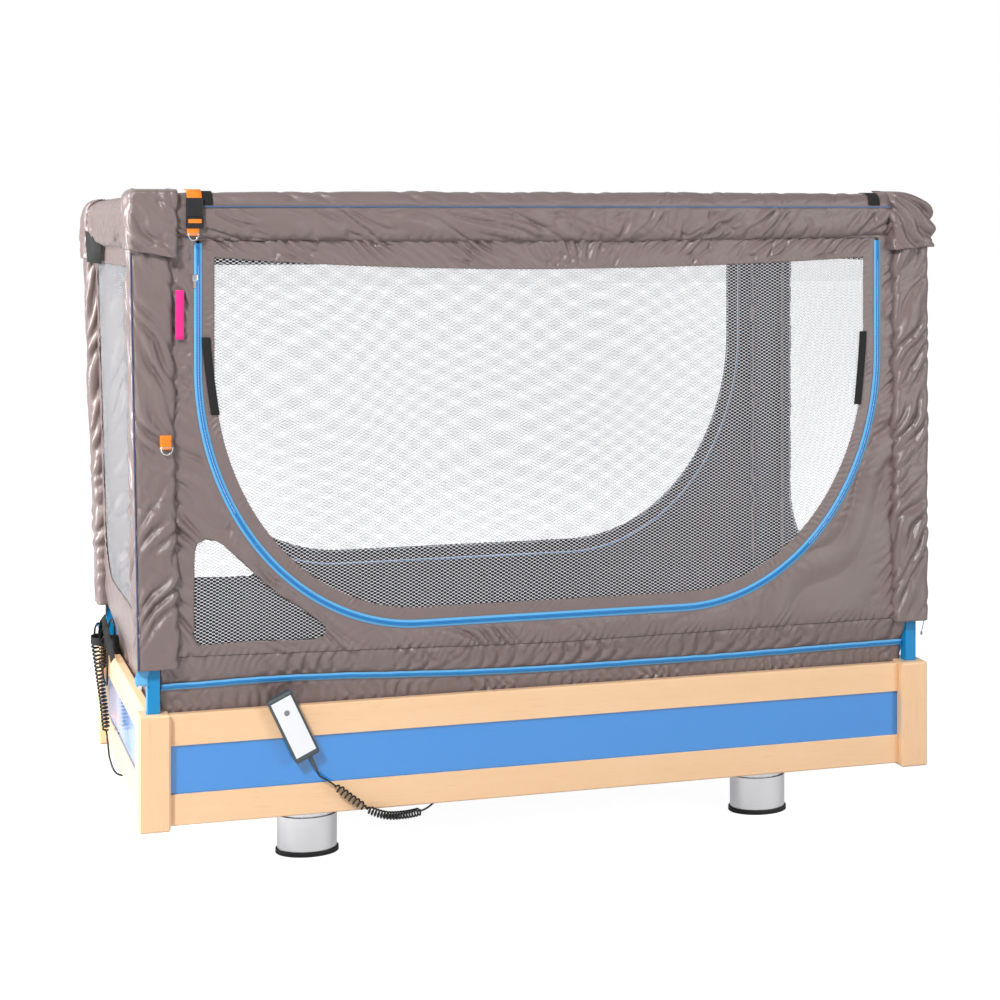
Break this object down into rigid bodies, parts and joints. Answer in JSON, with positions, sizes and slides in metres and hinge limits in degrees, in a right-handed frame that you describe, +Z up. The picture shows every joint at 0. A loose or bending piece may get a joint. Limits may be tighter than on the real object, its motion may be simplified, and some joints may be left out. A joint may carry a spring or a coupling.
{
  "type": "tent bed",
  "caption": "Height-adjustable wooden care bed under a zipped fabric tent with mesh doors and windows on a square-tube frame; slatted tilting sections, lifting columns, handset and curly leads.",
  "frame": {"origin": "on the floor under the middle of the bed, bed fully lowered", "axes": "+X from head end to foot end, +Y from front to rear, +Z up"},
  "size_m": [2.2397, 1.03, 1.762],
  "materials": {
    "beech": "clear satin lacquer",
    "blue_panel": "satin laminate",
    "blue_tube": "semi-gloss powder coat",
    "taupe_cloth": "shiny woven nylon",
    "aluminium": "satin anodised",
    "grey_steel": "grey powder coat",
    "black_plastic": "matt moulded",
    "foot_rubber": "matt moulded",
    "orange_webbing": "woven webbing",
    "handset_grey": "fine moulded texture",
    "white_plate": "smooth",
    "cord_black": "smooth sheath",
    "zip_metal": "plated"
  },
  "bodies": {
    "base": {"column_foot_head_front": "foot_rubber", "column_foot_head_rear": "foot_rubber", "column_foot_foot_front": "foot_rubber", "column_foot_foot_rear": "foot_rubber", "column_base_head_front": "aluminium", "column_base_head_rear": "aluminium", "column_base_foot_front": "aluminium", "column_base_foot_rear": "aluminium"},
    "lift_tubes": {"column_tube_head_front": "aluminium", "column_tube_head_rear": "aluminium", "column_tube_foot_front": "aluminium", "column_tube_foot_rear": "aluminium"},
    "bed": {"cross_beam_head": "grey_steel", "cross_beam_foot": "grey_steel", "mattress_frame": "grey_steel", "drive_unit": "black_plastic", "control_box": "black_plastic", "mains_plug": "black_plastic", "post_head_front": "beech", "post_head_rear": "beech", "post_foot_front": "beech", "post_foot_rear": "beech", "head_upper_rail": "beech", "head_lower_rail": "beech", "foot_upper_rail": "beech", "foot_lower_rail": "beech", "front_upper_rail": "beech", "front_lower_rail": "beech", "rear_upper_rail": "beech", "rear_lower_rail": "beech", "head_panel": "blue_panel", "foot_panel": "blue_panel", "front_panel": "blue_panel", "rear_panel": "blue_panel", "tent_hoop_head": "blue_tube", "tent_hoop_foot": "blue_tube", "top_rail_front": "blue_tube", "top_rail_rear": "blue_tube", "wall_head": "taupe_cloth", "wall_foot": "taupe_cloth", "wall_front": "taupe_cloth", "wall_rear": "taupe_cloth", "pad_front": "taupe_cloth", "pad_rear": "taupe_cloth", "end_cover_head": "taupe_cloth", "end_cover_foot": "taupe_cloth", "roof": "taupe_cloth", "corner_strap": "orange_webbing", "handset": "handset_grey", "handset_face": "white_plate", "handset_cord": "cord_black", "mains_cord": "cord_black"},
    "backrest": {"backrest": "grey_steel"},
    "thigh_rest": {"thigh_rest": "grey_steel"},
    "leg_rest": {"leg_rest": "grey_steel"},
    "front_door": {"front_door": "taupe_cloth"},
    "rear_door": {"rear_door": "taupe_cloth"},
    "key": {"handset_key": "white_plate"},
    "clip": {"buckle_clip": "black_plastic"},
    "slider": {"zip_slider": "zip_metal"}
  },
  "joints": [
    {"name": "height_lift", "type": "slide", "parent": "base", "child": "bed", "axis": [0, 0, 1], "range_m": [0, 0.38]},
    {"name": "tube_lift", "type": "slide", "parent": "base", "child": "lift_tubes", "axis": [0, 0, 1], "range_m": [0, 0.19]},
    {"name": "backrest_tilt", "type": "hinge", "parent": "bed", "child": "backrest", "pos_m": [-0.2, 0, 0.374], "axis": [0, 1, 0], "range_deg": [0, 70]},
    {"name": "thigh_tilt", "type": "hinge", "parent": "bed", "child": "thigh_rest", "pos_m": [0.1, 0, 0.374], "axis": [0, -1, 0], "range_deg": [0, 30]},
    {"name": "leg_tilt", "type": "hinge", "parent": "thigh_rest", "child": "leg_rest", "pos_m": [0.43, 0, 0.374], "axis": [0, 1, 0], "range_deg": [0, 45]},
    {"name": "front_door_swing", "type": "hinge", "parent": "bed", "child": "front_door", "pos_m": [0, -0.4795, 1.6297], "axis": [-1, 0, 0], "range_deg": [0, 90]},
    {"name": "rear_door_swing", "type": "hinge", "parent": "bed", "child": "rear_door", "pos_m": [0, 0.4795, 1.6297], "axis": [1, 0, 0], "range_deg": [0, 90]},
    {"name": "key_press", "type": "slide", "parent": "bed", "child": "key", "axis": [0, 1, 0], "range_m": [0, 0.0012], "stiffness_N_per_m": 300},
    {"name": "buckle_release", "type": "slide", "parent": "bed", "child": "clip", "axis": [0, 0, -1], "range_m": [0, 0.026]},
    {"name": "zip_slide", "type": "slide", "parent": "bed", "child": "slider", "axis": [0, 0, -1], "range_m": [0, 0.3]}
  ],
  "couplings": [
    {"joint": "tube_lift", "follows": "height_lift", "ratio": 0.5},
    {"joint": "leg_tilt", "follows": "thigh_tilt", "ratio": 1.5}
  ]
}
